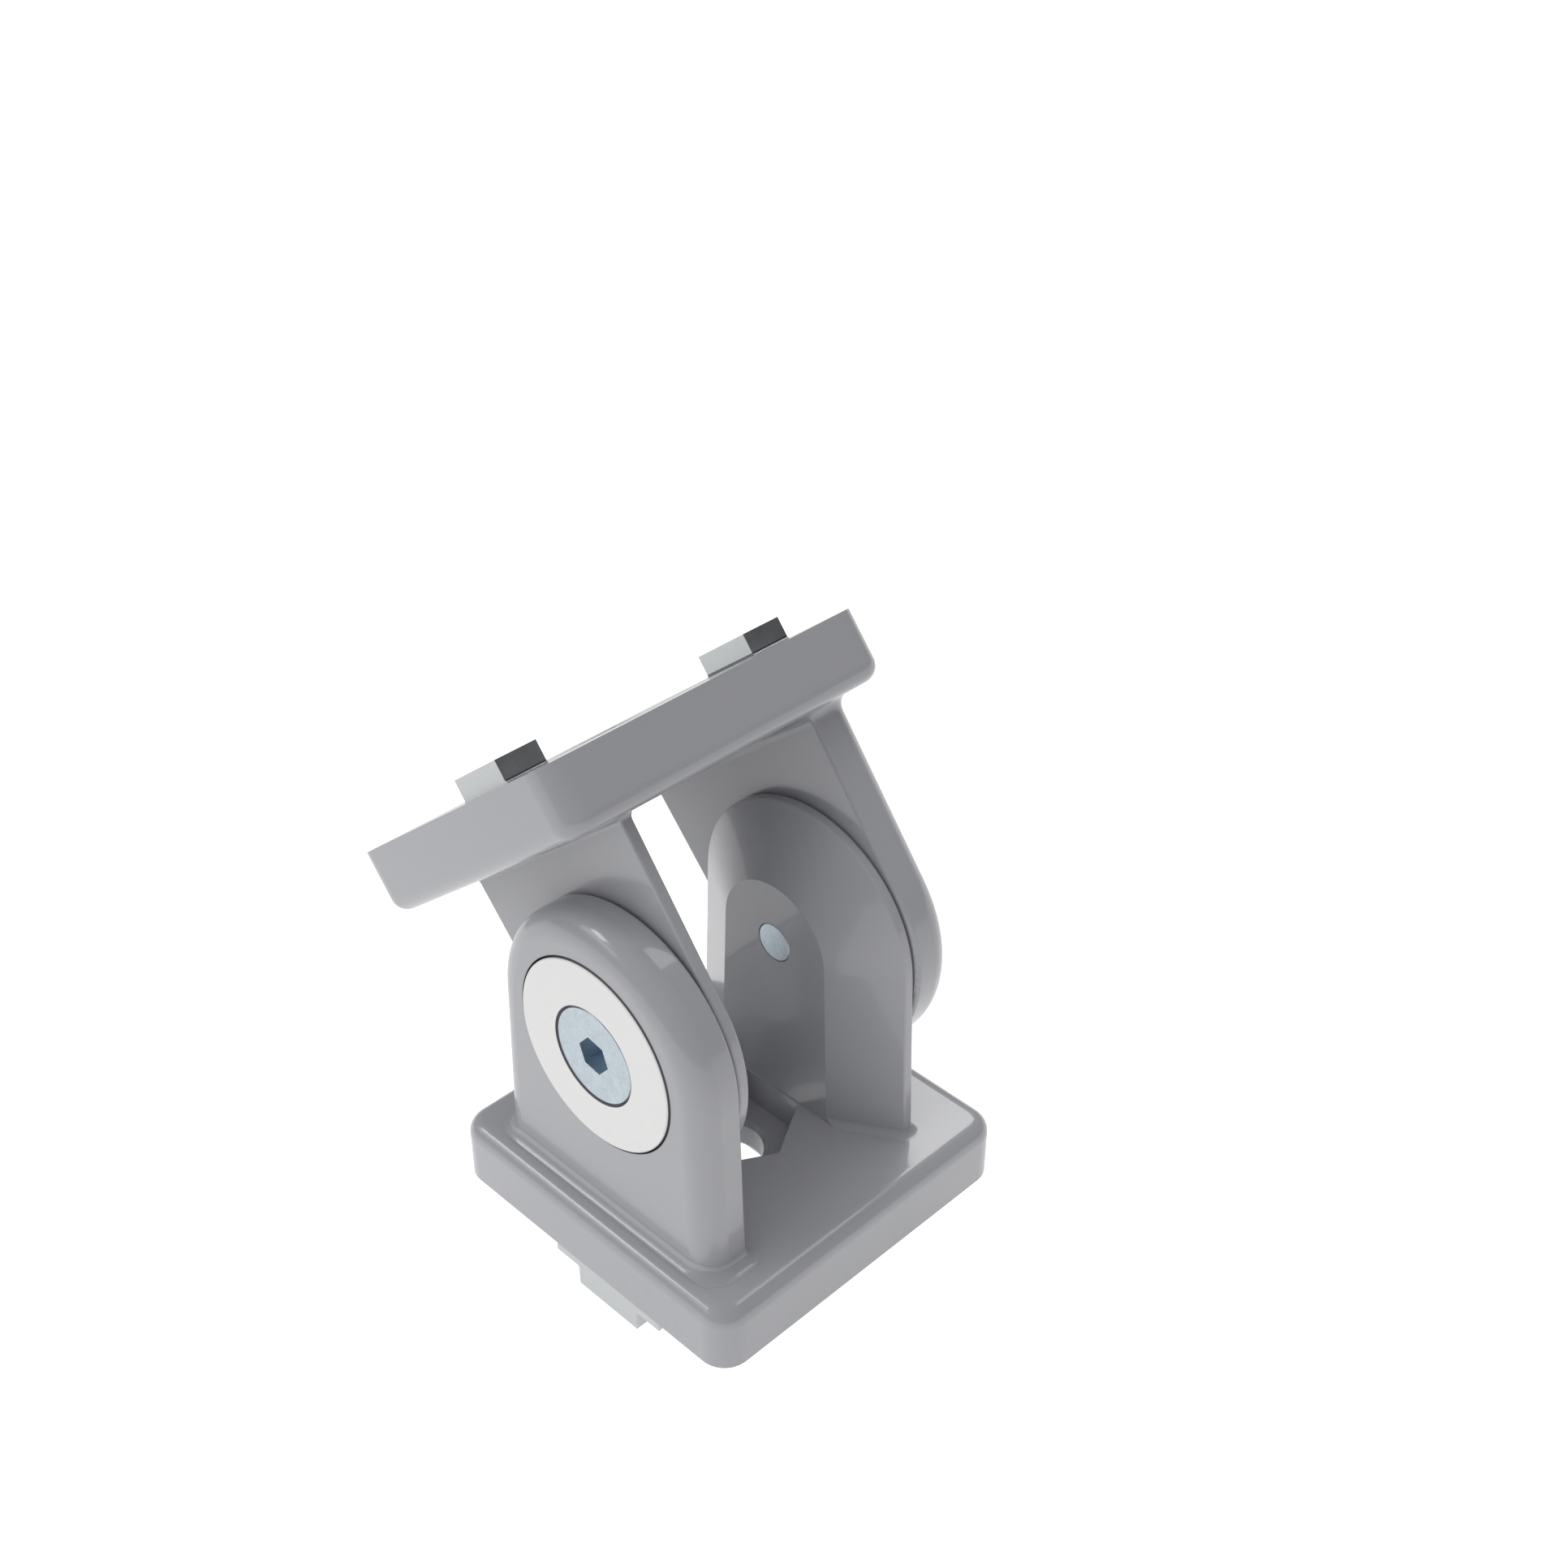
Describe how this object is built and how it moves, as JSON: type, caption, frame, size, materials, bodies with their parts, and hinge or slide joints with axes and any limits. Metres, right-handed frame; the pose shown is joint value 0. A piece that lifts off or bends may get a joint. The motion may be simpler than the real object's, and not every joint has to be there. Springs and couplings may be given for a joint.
{
  "type": "profile pivot joint",
  "caption": "Pivot joint for square slotted profile: die-cast halves turn about a cross axis on shouldered bushes held by countersunk screws, with locating lugs.",
  "frame": {"origin": "centre of the bolt hole in the lower plate's outer face", "axes": "+Z out of the lower plate's ear side, +X along the pivot axis, the upper half leans towards +Y"},
  "size_m": [0.045, 0.059, 0.0711],
  "materials": {
    "casting": "semi-gloss grey powder coat on die casting",
    "bush": "fine matt, pale grey",
    "screw": "bluish zinc plating, softly mottled",
    "strip": "matt, lightly blasted"
  },
  "bodies": {
    "lower": {"lower_casting": "casting", "right_bush": "bush", "right_screw": "screw", "lower_strip": "strip"},
    "upper": {"upper_casting": "casting", "left_bush": "bush", "left_screw": "screw", "upper_strip": "strip"}
  },
  "joints": [
    {"name": "pivot", "type": "hinge", "parent": "lower", "child": "upper", "pos_m": [0, 0, 0.03], "axis": [1, 0, 0], "range_deg": [-50, 130]}
  ]
}
